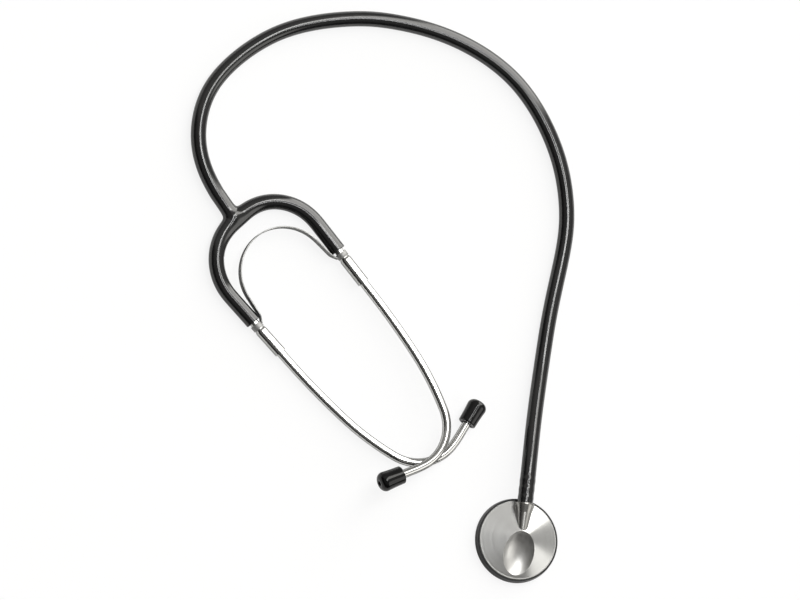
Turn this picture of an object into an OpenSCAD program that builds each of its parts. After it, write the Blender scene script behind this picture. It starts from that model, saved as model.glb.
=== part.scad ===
// Single-head stethoscope, lying on a flat surface.
// Millimetres. The origin is the centre of the diaphragm's outer face, +Z is up,
// and +Y runs along the headset, from the ear tips towards the yoke.

/* [Chest piece] */
// Diameter of the steel head inside its rim
head_d = 43.4; // [41:0.2:47]
// Height of the head's flat edge above the diaphragm face
edge_z = 5.9; // [5.6:0.1:7]
// Width of the flat edge round the cone
edge_w = 0.6; // [0.5:0.1:1.5]
// Slope of the conical top, in degrees
cone_slope = 25.6; // [23:0.2:28]
// Radius that rounds the top of the cone
crown_r = 10; // [7:0.5:12]
// How far the thumb scoop reaches past the centre, towards the stem
scoop_top = 3.9; // [2.5:0.1:5]
// Width of the cone left between the thumb scoop and the flat edge
scoop_margin = 1.5; // [1:0.1:3]
// Depth of the thumb scoop below a line from end to end
scoop_depth = 3.2; // [2:0.1:3.8]
// Radius of the thumb scoop across its width
scoop_cross_r = 12.8; // [10:0.1:16]
// Diameter of the sound passage inside the head
port_d = 3.2; // [2.4:0.1:3.6]
// Steel between the sound passage and the thumb scoop
port_wall = 1; // [0.8:0.1:2]
// Height of the hollow cone behind the diaphragm
hollow_h = 1.7; // [1:0.1:2.2]

/* [Stem boss] */
// Direction of the stem, in degrees from +X
stem_turn = 42; // [30:1:60]
// Clearance between the hose and the head below it
hose_lift = 0.25; // [0.2:0.05:1]
// Distance from the boss's open end in to the head's outer edge
boss_inset = 2.3; // [1:0.1:3]
// Step from the hose out to the lip of the boss
collar_step = 1.1; // [0.5:0.05:1.5]
// Length of the lip at the boss's open end
collar_l = 0.8; // [0.5:0.1:2]
// Length of the flare from the boss out to its lip
flare_l = 4.4; // [2:0.1:6]
// Diameter of the boss where its flare starts
boss_d = 8.3; // [7.6:0.1:9]
// Diameter of the boss where it sinks into the cone
boss_tip_d = 5.6; // [5:0.1:6.5]
// Distance of the boss's tip from the head's centre
boss_tip = 4.5; // [3:0.1:6]

/* [Diaphragm and rim] */
// Outer diameter of the non-chill rim
rim_d = 46.4; // [45.6:0.1:51]
// Width of the rim's top lip
rim_top_w = 0.8; // [0.6:0.1:1.1]
// Height of the rim's underside above the diaphragm face
rim_up = 0.3; // [0.2:0.05:0.6]
// Thickness of the rim's lower lip
lip_t = 0.7; // [0.5:0.05:1]
// Width of the rim's lower lip under the diaphragm's flange
lip_w = 1.4; // [1:0.1:1.8]
// Thickness of the diaphragm
diaphragm_t = 0.5; // [0.3:0.05:0.7]
// Travel of the floating diaphragm
press_travel = 0.4; // [0.2:0.05:0.6]
// Height of the bead that the rim snaps over
bead_h = 0.45; // [0.3:0.05:0.6]

/* [Hose and stem] */
// Outer diameter of the hose and of the yoke's arms
hose_d = 8.5; // [8:0.1:9.5]
// Outer diameter of the stem tube
stem_d = 5.4; // [4.8:0.1:5.6]
// Bore of the stem tube
stem_bore = 3.2; // [2.6:0.1:3.6]
// Length of the stem inside the boss
stem_in = 9; // [6:0.5:11]
// Length of the stem inside the hose
stem_out = 16; // [10:0.5:20]
// Height of each barb on the stem
barb_h = 0.35; // [0.2:0.05:0.5]
// Straight run of the hose out of the boss
boss_run = 10; // [8:0.5:12]

/* [Yoke] */
// Place of the headset's centre line across the part
headset_x = -6.6; // [-12:0.2:0]
// Half the distance between the two arms
arch_half = 32.4; // [30:0.2:36]
// Bend radius of the arms
arch_r = 29.5; // [26:0.5:30]
// Place along the part where the arms straighten
arm_y = 204; // [200:1:208]
// Length of the straight end of each arm
arm_l = 20; // [18:0.5:22]
// Inward lean of the arms, in degrees
arm_lean = 2.5; // [1.5:0.1:3.5]
// Air passage through the yoke's arms
passage_d = 3.6; // [3.4:0.1:4.2]
// Air passage through the yoke's inlet
inlet_passage_d = 3; // [2.4:0.1:3.2]
// Length of the inlet above the arch
inlet_l = 15; // [12:0.5:20]
// Lean of the inlet as the hose pulls it over, in degrees
inlet_lean = 5; // [0:0.5:8]
// Offset of the inlet's foot from the centre line
inlet_x = -2.6; // [-4:0.1:0]
// Straight run of the hose out of the yoke's inlet
inlet_run = 6; // [4:0.5:8]

/* [Ear tubes] */
// Outer diameter of an ear tube
ear_tube_d = 4.8; // [4.4:0.1:5.2]
// Bore of an ear tube
ear_tube_bore = 3.4; // [2.8:0.1:3.8]
// Length of the straight upper end
straight_l = 49; // [46:0.5:52]
// Radius of the long upper bend
long_r = 420; // [300:10:600]
// Angle of the long upper bend, in degrees
long_turn = 5.5; // [4:0.1:7]
// Radius of the lower bend
lower_r = 157; // [140:1:180]
// Angle of the lower bend, in degrees
lower_turn = 12.7; // [11:0.1:14]
// Radius of the hook towards the ear
hook_r = 26; // [24:0.5:28]
// Angle of the hook, in degrees
hook_turn = 80; // [76:0.5:82]
// Radius of the last bend
nose_r = 60; // [50:1:80]
// Angle of the last bend, in degrees
nose_turn = 7; // [4:0.5:10]
// Length of the straight end that carries the ear tip
nose_l = 16; // [14:0.5:20]
// How far the left tube stands out of its socket
left_pull = 2.5; // [0:0.1:3]
// How far the right tube stands out of its socket
right_pull = 0; // [0:0.1:3]
// Upward pitch of the right tube, in degrees
right_pitch = 3; // [2.8:0.1:4]
// Upward roll of the right tube towards its tip, in degrees
right_roll = 5.8; // [5.4:0.1:7]

/* [Ear tips] */
// Largest diameter of an ear tip
tip_d = 11; // [10.4:0.1:11.8]
// Diameter of an ear tip at its base
tip_base_d = 10; // [9:0.1:10.2]
// Radius of the rounded edge at an ear tip's far end
tip_round = 3.4; // [2:0.1:3.6]
// Length of an ear tip
tip_l = 14.2; // [13.5:0.1:16]
// Length of tube inside an ear tip
tip_grip = 8; // [6:0.5:9]
// Diameter of the sound hole in an ear tip
tip_hole_d = 2.6; // [2:0.1:3]

/* [Leaf spring] */
// Thickness of the spring steel
leaf_t = 0.7; // [0.5:0.05:0.9]
// Height of the leaf at its arch
leaf_h = 5; // [4:0.1:6]
// Bend radius of the arch
leaf_r = 25.5; // [24:0.1:26]
// Distance from the yoke's arch to the leaf, centre to centre
leaf_drop = 14.8; // [13:0.1:17]
// Height of the leaf's middle above the yoke's middle
leaf_lift = 0.6; // [0:0.1:1]
// Gap between a yoke arm's end and the leaf's hook
hook_gap = 1.6; // [1:0.1:3]
// Width of the hooks round the ear tubes
hook_w = 3.2; // [2.6:0.1:3.4]
// Length of a spring clip
clip_l = 17; // [12:0.5:20]
// Wall of a spring clip
clip_t = 0.75; // [0.5:0.05:1]
// Width of the seam along a spring clip
clip_seam = 0.9; // [0.5:0.1:1.5]

/* [Fits] */
// Radial clearance of pieces that fit over each other
fit = 0.05; // [0.03:0.01:0.08]
// Gap between pieces that pass beside each other
gap = 0.3; // [0.2:0.05:0.4]

/* [Hidden] */
$fn = 64;

left = -1;
right = 1;
eps = 0.01;
proud = 0.02;
ball_step = 0.1;
ring_l = 0.15;
steel = "#c9cccd";
polished = "#dfe2e4";
black = "#1b1b1c";

// Heights in the chest piece, from the skin side up
lip_z = rim_up + lip_t;
flange_z = lip_z + diaphragm_t;
seat_z = flange_z + press_travel + fit;
head_r = head_d / 2;
cone_r = head_r - edge_w;
crown_edge = crown_r * sin(cone_slope);
crown_z = edge_z + (cone_r - crown_edge) * tan(cone_slope) - crown_r * cos(cone_slope);
boss_end = head_r - boss_inset;
port_at = scoop_top + port_d / 2 + port_wall;

// Height of the head's outer surface at a distance from its centre
function top_z(r) = r < crown_edge ? crown_z + sqrt(crown_r * crown_r - r * r)
    : edge_z + (cone_r - r) * tan(cone_slope);

stem_z = top_z(boss_end) + hose_d / 2 + hose_lift;

// Places in the headset
tube_z = hose_d / 2 + ball_step;
arch_x = arch_half - arch_r;
arch_top = arm_y + arch_r;
socket_r = ear_tube_d / 2 + fit;
hook_at = arm_l + hook_gap;
clip_at = hook_at + hook_w + gap;
leaf_z = tube_z + leaf_lift;

// Bends of an ear tube from its upper end: [radius, angle], or [0, length] where straight
EAR_PATH = [[0, straight_l], [long_r, long_turn], [lower_r, lower_turn], [hook_r, hook_turn],
    [nose_r, nose_turn], [0, nose_l]];

// Place on a path after its first n pieces: [x, y, heading]
function path_at(path, n, i = 0, x = 0, y = 0, a = 0) = i == n ? [x, y, a]
    : path[i][0] == 0
    ? path_at(path, n, i + 1, x - path[i][1] * sin(a), y - path[i][1] * cos(a), a)
    : path_at(path, n, i + 1,
        x + path[i][0] * (cos(a + path[i][1]) - cos(a)),
        y + path[i][0] * (sin(a) - sin(a + path[i][1])), a + path[i][1]);

ear_end = path_at(EAR_PATH, len(EAR_PATH));
left_pitch = asin((tip_d / 2 - tube_z) / (left_pull - ear_end[1]));

// Route of the free hose, from the chest piece to the yoke, chosen by hand
ROUTE = [[38.5, 34.5, 9.6], [51.5, 45.5, 7.4], [65, 56.5, 5.5], [79, 68, 4.5], [93.5, 80, 4.3],
    [108, 91, 4.3], [122.5, 101.5, 4.3], [136.5, 113, 4.3], [148, 127, 4.3], [157, 142.5, 4.3],
    [163, 159, 4.3], [166.5, 176, 4.3], [167, 193.5, 4.3], [163.5, 211, 4.3], [157, 227.5, 4.3],
    [148, 243, 4.3], [137, 257, 4.3], [125, 269.5, 4.3], [111, 280, 4.3], [96, 289, 4.3],
    [79.5, 296, 4.3], [62, 299.5, 4.3], [44, 300, 4.3], [27, 297, 4.3], [12, 288.5, 4.3],
    [0.5, 276, 4.3], [-5.5, 262.5, 4.3]];

inlet_foot = [headset_x + inlet_x, arch_top, tube_z];
inlet_dir = [sin(inlet_lean), cos(inlet_lean), 0];
stem_dir = [cos(stem_turn), sin(stem_turn), 0];
hose_start = boss_end * stem_dir + [0, 0, stem_z];
hose_end = inlet_foot + inlet_l * inlet_dir;
hose_points = concat([hose_start, hose_start + boss_run * stem_dir], ROUTE,
    [hose_end + inlet_run * inlet_dir, hose_end]);

module tube_ring(ro, ri) {
    difference() {
        circle(ro);
        circle(ri);
    }
}

// Moves its children to the stem's axis, with +X pointing out of the boss
module on_stem() {
    translate([0, 0, stem_z]) rotate([0, 0, stem_turn]) children();
}

module along_x(from, to, r1, r2) {
    translate([from, 0, 0]) rotate([0, 90, 0]) cylinder(h = to - from, r1 = r1, r2 = r2);
}

module head_profile() {
    bead_z = seat_z + 0.6;
    polygon([[0, seat_z], [head_r, seat_z], [head_r, bead_z], [head_r + bead_h, bead_z + bead_h],
        [head_r + bead_h, bead_z + bead_h + 0.5], [head_r, bead_z + 2 * bead_h + 0.5],
        [head_r, edge_z - 0.2], [head_r - 0.2, edge_z], [cone_r, edge_z],
        [crown_edge, top_z(crown_edge)], [0, top_z(crown_edge)]]);
    intersection() {
        translate([0, crown_z]) circle(crown_r);
        translate([0, top_z(crown_edge) - eps]) square(crown_r);
    }
}

module boss() {
    lip_r = hose_d / 2 + collar_step;
    reach = boss_end - collar_l;
    along_x(reach, boss_end, lip_r, lip_r);
    along_x(reach - flare_l, reach, boss_d / 2, lip_r);
    along_x(boss_tip, reach - flare_l, boss_tip_d / 2, boss_d / 2);
}

// Scoop for the thumb, as a wheel with a round rim would grind it
module thumb_scoop() {
    p = [scoop_top, top_z(scoop_top)];
    q = [scoop_margin - cone_r, top_z(cone_r - scoop_margin)];
    chord = norm(p - q);
    wheel_r = chord * chord / (8 * scoop_depth) + scoop_depth / 2;
    up = [q[1] - p[1], p[0] - q[0]] / chord;
    c = (p + q) / 2 + (wheel_r - scoop_depth) * up;
    rotate([0, 0, stem_turn]) translate([c[0], 0, c[1]]) rotate([90, 0, 0])
        rotate_extrude() translate([wheel_r - scoop_cross_r, 0]) intersection() {
            circle(scoop_cross_r);
            translate([scoop_cross_r - wheel_r + eps, -scoop_cross_r])
                square([wheel_r, 2 * scoop_cross_r]);
        }
}

module sound_passage() {
    rotate([0, 0, stem_turn]) translate([port_at, 0, seat_z - 1])
        cylinder(h = stem_z - seat_z + 1, d = port_d);
    on_stem() {
        along_x(port_at, boss_end, port_d / 2, port_d / 2);
        along_x(boss_end - stem_in, boss_end + 1, stem_d / 2 + fit, stem_d / 2 + fit);
        translate([port_at, 0, 0]) sphere(d = port_d);
    }
}

module chest_body() {
    color(steel) difference() {
        union() {
            rotate_extrude() head_profile();
            on_stem() boss();
        }
        thumb_scoop();
        translate([0, 0, seat_z - eps])
            cylinder(h = hollow_h, r1 = head_r - lip_w - gap, r2 = port_at + port_d);
        sound_passage();
    }
}

// Steel tube pressed into the boss, with barbs that hold the hose
module stem() {
    r = stem_d / 2;
    barb_l = 3;
    color(polished) on_stem() difference() {
        union() {
            along_x(boss_end - stem_in, boss_end + stem_out, r, r);
            for (k = [0:2])
                along_x(boss_end + stem_out - (k + 1) * barb_l, boss_end + stem_out - k * barb_l - 0.6,
                    r + barb_h, r);
        }
        along_x(boss_end - stem_in - 1, boss_end + stem_out + 1, stem_bore / 2, stem_bore / 2);
    }
}

module rim() {
    r = head_r + fit;
    bead_z = seat_z + 0.6 - fit;
    out = rim_d / 2;
    color(black) rotate_extrude() polygon([[r - lip_w, rim_up], [out - 0.8, rim_up],
        [out - 0.25, rim_up + 0.3], [out, rim_up + 1], [out, rim_up + 1.8],
        [r + rim_top_w + 0.1, edge_z - 0.5], [r + rim_top_w, edge_z - 0.2],
        [r + rim_top_w - 0.2, edge_z], [r, edge_z], [r, bead_z + 2 * bead_h + 0.5 + 2 * fit],
        [r + bead_h, bead_z + bead_h + 0.5 + 2 * fit], [r + bead_h, bead_z + bead_h],
        [r, bead_z], [r, lip_z], [r - lip_w, lip_z]]);
}

// Stiff disc with a raised flange, held loosely between the head and the rim
module diaphragm() {
    flange_r = head_r - 0.15;
    step_r = head_r + fit - lip_w - 0.2;
    t = diaphragm_t;
    color("#2a2a2c") rotate_extrude() polygon([[0, 0], [step_r - 0.3, 0], [step_r, 0.3],
        [step_r, lip_z], [flange_r, lip_z], [flange_r, flange_z], [step_r - t, flange_z],
        [step_r - t, t + 0.1], [step_r - t - 0.1, t], [0, t]]);
}

function unit(v) = v / norm(v);

// Round tube swept along points, one ring at each
module swept_tube(points, r, sides) {
    n = len(points);
    rings = [for (i = [0:n - 1]) let (
        way = unit(points[min(i + 1, n - 1)] - points[max(i - 1, 0)]),
        side = unit(cross(way, [0, 0, 1])),
        up = cross(side, way))
        for (k = [0:sides - 1]) points[i]
            + r * (cos((k + 0.5) * 360 / sides) * side + sin((k + 0.5) * 360 / sides) * up)];
    walls = [for (i = [0:n - 2], k = [0:sides - 1]) let (
        a = i * sides + k, b = i * sides + (k + 1) % sides, c = b + sides, d = a + sides)
        each [[a, b, c], [a, c, d]]];
    first = [for (k = [0:sides - 1]) sides - 1 - k];
    last = [for (k = [0:sides - 1]) (n - 1) * sides + k];
    polyhedron(rings, concat([first], walls, [last]));
}

module main_tube() {
    color(black) swept_tube(hose_points, hose_d / 2, 12);
}

// Local frame of one ear tube: its upper end at the origin, heading along -Y
module ear_frame(side) {
    pitch = side == left ? left_pitch : right_pitch;
    roll = side == left ? 0 : right_roll;
    translate([headset_x, 0, 0]) on_side(side) translate([arch_half, arm_y, tube_z])
        rotate([-pitch, roll, 0]) rotate([0, 0, -arm_lean]) children();
}

// Mirrors its children for the left side
module on_side(side) {
    if (side == left) mirror([1, 0, 0]) children();
    else children();
}

// Straight length along -Y
module down(from, to) {
    translate([0, -from, 0]) rotate([90, 0, 0]) linear_extrude(to - from) children();
}

// Bend of the arch and one arm, with a ball where the tilted arm starts
module arm(side, r) {
    translate([headset_x + side * arch_x, arm_y, tube_z]) on_side(side)
        rotate_extrude(angle = 90) translate([arch_r, 0]) circle(r);
    ear_frame(side) {
        sphere(r + ball_step);
        down(0, arm_l) circle(r);
    }
}

module arch(r) {
    translate([headset_x - arch_x, arch_top, tube_z]) rotate([0, 90, 0])
        cylinder(h = 2 * arch_x, r = r);
    for (side = [left, right]) arm(side, r);
}

module inlet(r, extra) {
    translate(inlet_foot) rotate([0, 0, -inlet_lean]) rotate([-90, 0, 0])
        cylinder(h = inlet_l + extra, r = r);
}

// One moulding: two arms with sockets for the ear tubes, and the inlet of the hose
module yoke() {
    color(black) difference() {
        union() {
            arch(hose_d / 2);
            inlet(hose_d / 2 - ball_step, 0);
        }
        arch(passage_d / 2);
        inlet(inlet_passage_d / 2, 1);
        for (side = [left, right]) ear_frame(side) down(-gap, arm_l + 1) circle(socket_r);
    }
}

// Bent tube along a path, in the local frame. Its pieces meet inside short rings that
// stand proud by a hair, so that no two surfaces are tangent.
module bent_tube(path, ro, ri, i = 0) {
    if (i < len(path)) {
        r = path[i][0];
        a = path[i][1];
        near = i == 0 ? 0 : ring_l / 3;
        far = i == len(path) - 1 ? 0 : ring_l / 3;
        if (i > 0) down(-ring_l, ring_l) tube_ring(ro + proud, ri - proud);
        if (r == 0) {
            down(near, a - far) tube_ring(ro, ri);
            translate([0, -a, 0]) bent_tube(path, ro, ri, i + 1);
        } else {
            a_near = near / r * 180 / PI;
            a_far = far / r * 180 / PI;
            translate([-r, 0, 0]) rotate([0, 0, -a]) {
                rotate([0, 0, a_far]) rotate_extrude(angle = a - a_near - a_far)
                    translate([r, 0]) tube_ring(ro, ri);
                translate([r, 0, 0]) bent_tube(path, ro, ri, i + 1);
            }
        }
    }
}

module ear_tube(side) {
    pull = side == left ? left_pull : right_pull;
    color(polished) ear_frame(side) translate([0, -pull, 0])
        bent_tube(EAR_PATH, ear_tube_d / 2, ear_tube_bore / 2);
}

module tip_profile() {
    r = tip_d / 2;
    b = tip_base_d / 2;
    side_l = tip_l - tip_round;
    flat_r = r - tip_round;
    difference() {
        union() {
            polygon([[0, 0], [b - 0.4, 0], [b, 0.4], [b, 1.2], [r, side_l], [flat_r, tip_l],
                [0, tip_l]]);
            intersection() {
                translate([flat_r, side_l]) circle(tip_round);
                translate([flat_r, side_l]) square(tip_round + eps);
            }
        }
        square([ear_tube_d / 2 + fit, tip_grip + gap]);
        square([tip_hole_d / 2, tip_l + 1]);
    }
}

module ear_tip(side) {
    pull = side == left ? left_pull : right_pull;
    color(black) ear_frame(side) translate([ear_end[0], ear_end[1] - pull, 0])
        rotate([0, 0, -ear_end[2]]) translate([0, tip_grip, 0]) rotate([90, 0, 0])
            rotate_extrude() tip_profile();
}

// Bar with round ends between two points of the XY plane
module bar(p, q, h) {
    d = q - p;
    translate([p[0], p[1], -h / 2]) rotate([0, 0, atan2(d[1], d[0])]) {
        translate([0, -leaf_t / 2, 0]) cube([norm(d), leaf_t, h]);
        cylinder(h = h, d = leaf_t);
        translate([norm(d), 0, 0]) cylinder(h = h, d = leaf_t);
    }
}

// Leg of the leaf beside one arm, and its hook over the ear tube
module leaf_leg(side, a) {
    inner = arch_half - arm_l * tan(arm_lean) - hose_d / 2;
    b = [inner - gap - leaf_t / 2, arm_y - arm_l];
    tube_x = arch_half - (hook_at + hook_w / 2) * sin(arm_lean);
    c = [tube_x - socket_r - leaf_t / 2 - fit, arm_y - hook_at - hook_w / 2];
    translate([headset_x, 0, leaf_z]) on_side(side) {
        bar(a, b, leaf_h);
        bar(b, c, hook_w);
    }
    ear_frame(side) translate([0, -hook_at, 0]) rotate([90, 0, 0]) rotate([0, 0, -60])
        rotate_extrude(angle = 255) translate([socket_r + fit, 0]) square([leaf_t, hook_w]);
}

module leaf_spring() {
    sweep = 84;
    cy = arch_top - leaf_drop - leaf_r;
    color(steel) {
        translate([headset_x, cy, leaf_z - leaf_h / 2]) rotate([0, 0, 90 - sweep])
            rotate_extrude(angle = 2 * sweep) translate([leaf_r - leaf_t / 2, 0])
                square([leaf_t, leaf_h]);
        for (side = [left, right])
            leaf_leg(side, [leaf_r * sin(sweep), cy + leaf_r * cos(sweep)]);
    }
}

// Rolled sleeve on the ear tube below the leaf's hook
module spring_clip(side) {
    color(polished) ear_frame(side) difference() {
        union() {
            down(clip_at + 1.2, clip_at + clip_l) circle(socket_r + clip_t);
            translate([0, -clip_at, 0]) rotate([90, 0, 0])
                cylinder(h = 1.2, r1 = socket_r + 0.4 * clip_t, r2 = socket_r + clip_t);
        }
        down(clip_at - 1, clip_at + clip_l + 1) circle(socket_r);
        translate([-clip_seam / 2, -clip_at - clip_l - 1, -socket_r - 2 * clip_t])
            cube([clip_seam, clip_l + 2, socket_r]);
    }
}

chest_body();
stem();
rim();
diaphragm();
main_tube();
yoke();
leaf_spring();
ear_tube(left);  // ear_tube_left
ear_tube(right);  // ear_tube_right
spring_clip(left);  // spring_clip_left
spring_clip(right);  // spring_clip_right
ear_tip(left);  // ear_tip_left
ear_tip(right);  // ear_tip_right
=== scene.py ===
"""Looks of the single-head stethoscope. Sizes are in millimetres, as in part.scad, unless a
comment says otherwise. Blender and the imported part's frame use metres."""

import math

import bmesh
import bpy
import numpy as np
from mathutils import Matrix, Vector


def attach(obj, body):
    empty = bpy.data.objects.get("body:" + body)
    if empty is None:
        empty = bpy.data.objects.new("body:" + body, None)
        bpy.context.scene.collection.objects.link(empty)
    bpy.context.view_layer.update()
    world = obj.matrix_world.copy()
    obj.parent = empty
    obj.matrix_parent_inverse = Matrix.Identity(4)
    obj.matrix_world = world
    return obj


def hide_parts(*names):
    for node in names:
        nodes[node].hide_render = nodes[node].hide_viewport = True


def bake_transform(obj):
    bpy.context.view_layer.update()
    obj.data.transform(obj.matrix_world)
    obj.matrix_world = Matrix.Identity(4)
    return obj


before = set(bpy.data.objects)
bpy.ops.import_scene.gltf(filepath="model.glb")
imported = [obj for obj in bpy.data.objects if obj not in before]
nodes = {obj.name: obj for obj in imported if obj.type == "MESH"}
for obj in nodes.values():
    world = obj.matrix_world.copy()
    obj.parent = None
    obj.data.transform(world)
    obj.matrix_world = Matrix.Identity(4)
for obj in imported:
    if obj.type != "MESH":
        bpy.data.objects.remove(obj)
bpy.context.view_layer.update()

MM = 0.001
SIDES = ((-1, "left"), (1, "right"))
UP = (0, 0, 1)

# Hose and headset, lying flat with the ear tubes towards -Y
HOSE_D = 8.5
HOSE_R = HOSE_D / 2
HEADSET_X = -6.6
TUBE_Z = 4.35
ARCH_HALF = 32.4
ARCH_R = 29.5
ARCH_X = ARCH_HALF - ARCH_R
ARM_Y = 204.0
ARM_L = 20.0
ARM_LEAN = 2.5
ARCH_TOP = ARM_Y + ARCH_R
INLET_L = 15
INLET_ASIDE = 2.6
INLET_LEAN = math.radians(5)

# An ear tube, on from its arm: the radius and the degrees of each bend, or 0 and the length of
# a straight
EAR_PATH = [(0, 49), (420, 5.5), (157, 12.7), (26, 80), (60, 7), (0, 16)]
# how far each tube is drawn out of its arm, and its pitch and roll in degrees
PULL = {-1: 2.5, 1: 0.0}
TILT = {-1: (0.4786, 0.0), 1: (3.0, 5.8)}
TUBE_R = 2.4
TUBE_BORE = 1.7
SOCKET_R = 2.45

TIP_R = 5.5
TIP_BASE_R = 5.0
TIP_LIP = 0.7
TIP_ROUND = 3.4
TIP_L = 14.2
TIP_GRIP = 8.0
TIP_HOLE_R = 1.3
TIP_WAIST = 0.1

LEAF_T = 0.7
LEAF_H = 5.0
LEAF_SOFT = 0.13
LEAF_R = 25.5
LEAF_DROP = 14.8
LEAF_Z = 4.95
LEAF_SWEEP = 84
HOOK_AT = 21.6
HOOK_W = 3.2
HOOK_GAP = 0.05
# the hook's ends, in degrees round its tube
HOOK_FROM = -60
HOOK_TO = 195

# The head: its cone and rounded crown, the boss for the stem as (distance from the head's
# centre, radius), and the scoop, cut by a wheel with a rounded face
EDGE_Z = 5.9
CONE_R = 21.1
CONE_SLOPE = math.radians(25.6)
CROWN_R = 10.0
CROWN_EDGE = CROWN_R * math.sin(CONE_SLOPE)
CROWN_Z = (EDGE_Z + (CONE_R - CROWN_EDGE) * math.tan(CONE_SLOPE)
           - CROWN_R * math.cos(CONE_SLOPE))
BOSS = [(4.5, 2.8), (14.2, 4.15), (18.6, 5.35), (19.4, 5.35)]
SCOOP_TOP = 3.9
SCOOP_END = 19.6
SCOOP_DEPTH = 3.2
SCOOP_CROSS_R = 12.8
# how far the hose's underside lies over the cone where the boss ends
HOSE_LIFT = 0.25


def top_z(r):
    """Height of the head's outer surface at a distance from its centre."""
    if r < CROWN_EDGE:
        return CROWN_Z + math.sqrt(CROWN_R ** 2 - r * r)
    return EDGE_Z + (CONE_R - r) * math.tan(CONE_SLOPE)


BOSS_END = BOSS[-1][0]
STEM_Z = top_z(BOSS_END) + HOSE_R + HOSE_LIFT
STEM_ANGLE = math.radians(42)
STEM_DIR = np.array([math.cos(STEM_ANGLE), math.sin(STEM_ANGLE), 0])

# The hose's route, from the boss to the yoke's inlet
HOSE_START = BOSS_END * STEM_DIR + np.array([0, 0, STEM_Z])
INLET_FOOT = np.array([HEADSET_X - INLET_ASIDE, ARCH_TOP, TUBE_Z])
INLET_DIR = np.array([math.sin(INLET_LEAN), math.cos(INLET_LEAN), 0])
HOSE_END = INLET_FOOT + INLET_L * INLET_DIR
ROUTE = [
    (38.5, 34.5, 9.6), (51.5, 45.5, 7.4), (65, 56.5, 5.5), (79, 68, 4.5), (93.5, 80, 4.3),
    (108, 91, 4.3), (122.5, 101.5, 4.3), (136.5, 113, 4.3), (148, 127, 4.3), (157, 142.5, 4.3),
    (163, 159, 4.3), (166.5, 176, 4.3), (167, 193.5, 4.3), (163.5, 211, 4.3), (157, 227.5, 4.3),
    (148, 243, 4.3), (137, 257, 4.3), (125, 269.5, 4.3), (111, 280, 4.3), (96, 289, 4.3),
    (79.5, 296, 4.3), (62, 299.5, 4.3), (44, 300, 4.3), (27, 297, 4.3), (12, 288.5, 4.3),
    (0.5, 276, 4.3), (-5.5, 262.5, 4.3),
]


# Camera: a long lens over the table, turned and tilted as in the photograph

PICTURE_TURN = math.radians(50.3)
# from the picture's right, the picture's up and the vertical to the part's axes
PICTURE = Matrix(((math.sin(PICTURE_TURN), math.cos(PICTURE_TURN), 0),
                  (-math.cos(PICTURE_TURN), math.sin(PICTURE_TURN), 0),
                  (0, 0, 1)))
# the camera leans this far back from the vertical, towards this side of the picture
TILT_BACK = math.radians(18.5)
TURN_BACK = math.radians(29)
WIDE_PX = 800
TALL_PX = 600
PX_PER_MM = 1.83
# the pixel at which the frame's origin shows
ORIGIN_X_PX = 514.9
ORIGIN_Y_PX = 541.2
SENSOR = 36
# in metres
CAMERA_AWAY = 5.0
CAMERA_SEES = 50


def aim_camera():
    tilt_sin, tilt_cos = math.sin(TILT_BACK), math.cos(TILT_BACK)
    turn_sin, turn_cos = math.sin(TURN_BACK), math.cos(TURN_BACK)
    back = PICTURE @ Vector((-tilt_sin * turn_cos, -tilt_sin * turn_sin, tilt_cos))
    uphill = Vector((tilt_cos * turn_cos, tilt_cos * turn_sin, tilt_sin))
    level = Vector((-turn_sin, turn_cos, 0))
    right = PICTURE @ (turn_cos * uphill - turn_sin * level)
    up = PICTURE @ (turn_sin * uphill + turn_cos * level)
    centre = ((WIDE_PX / 2 - ORIGIN_X_PX) / PX_PER_MM * right
              + (ORIGIN_Y_PX - TALL_PX / 2) / PX_PER_MM * up) * MM
    centre -= back * (centre.z / back.z)
    data = bpy.data.cameras.new("camera")
    data.sensor_width = SENSOR
    data.lens = SENSOR * CAMERA_AWAY / (WIDE_PX / PX_PER_MM * MM)
    data.clip_end = CAMERA_SEES
    camera = bpy.data.objects.new("camera", data)
    turn = Matrix((right, up, back)).transposed()
    camera.matrix_world = Matrix.Translation(centre + CAMERA_AWAY * back) @ turn.to_4x4()
    bpy.context.scene.collection.objects.link(camera)
    bpy.context.scene.camera = camera


aim_camera()


# Lines

SPAN_PARTS = 12


def unit(v):
    v = np.asarray(v, float)
    return v / np.linalg.norm(v)


def smooth_line(points, step):
    """Centripetal Catmull-Rom through the points, resampled every step."""
    p = [np.asarray(q, float) for q in points]
    p = [2 * p[0] - p[1]] + p + [2 * p[-1] - p[-2]]
    out = []
    for i in range(1, len(p) - 2):
        a, b, c, d = p[i - 1:i + 3]
        t0, t1 = 0.0, np.linalg.norm(b - a) ** 0.5
        t2 = t1 + np.linalg.norm(c - b) ** 0.5
        t3 = t2 + np.linalg.norm(d - c) ** 0.5
        for t in np.linspace(t1, t2, SPAN_PARTS, endpoint=False):
            a1 = (t1 - t) / (t1 - t0) * a + (t - t0) / (t1 - t0) * b
            a2 = (t2 - t) / (t2 - t1) * b + (t - t1) / (t2 - t1) * c
            a3 = (t3 - t) / (t3 - t2) * c + (t - t2) / (t3 - t2) * d
            b1 = (t2 - t) / (t2 - t0) * a1 + (t - t0) / (t2 - t0) * a2
            b2 = (t3 - t) / (t3 - t1) * a2 + (t - t1) / (t3 - t1) * a3
            out.append((t2 - t) / (t2 - t1) * b1 + (t - t1) / (t2 - t1) * b2)
    out.append(p[-2])
    return resample(np.array(out), step)


def resample(q, step):
    """The same line with its points about one step apart."""
    s = np.concatenate([[0], np.cumsum(np.linalg.norm(np.diff(q, axis=0), axis=1))])
    n = max(2, round(s[-1] / step) + 1)
    t = np.linspace(0, s[-1], n)
    return np.stack([np.interp(t, s, q[:, k]) for k in range(3)], axis=1)


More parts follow.
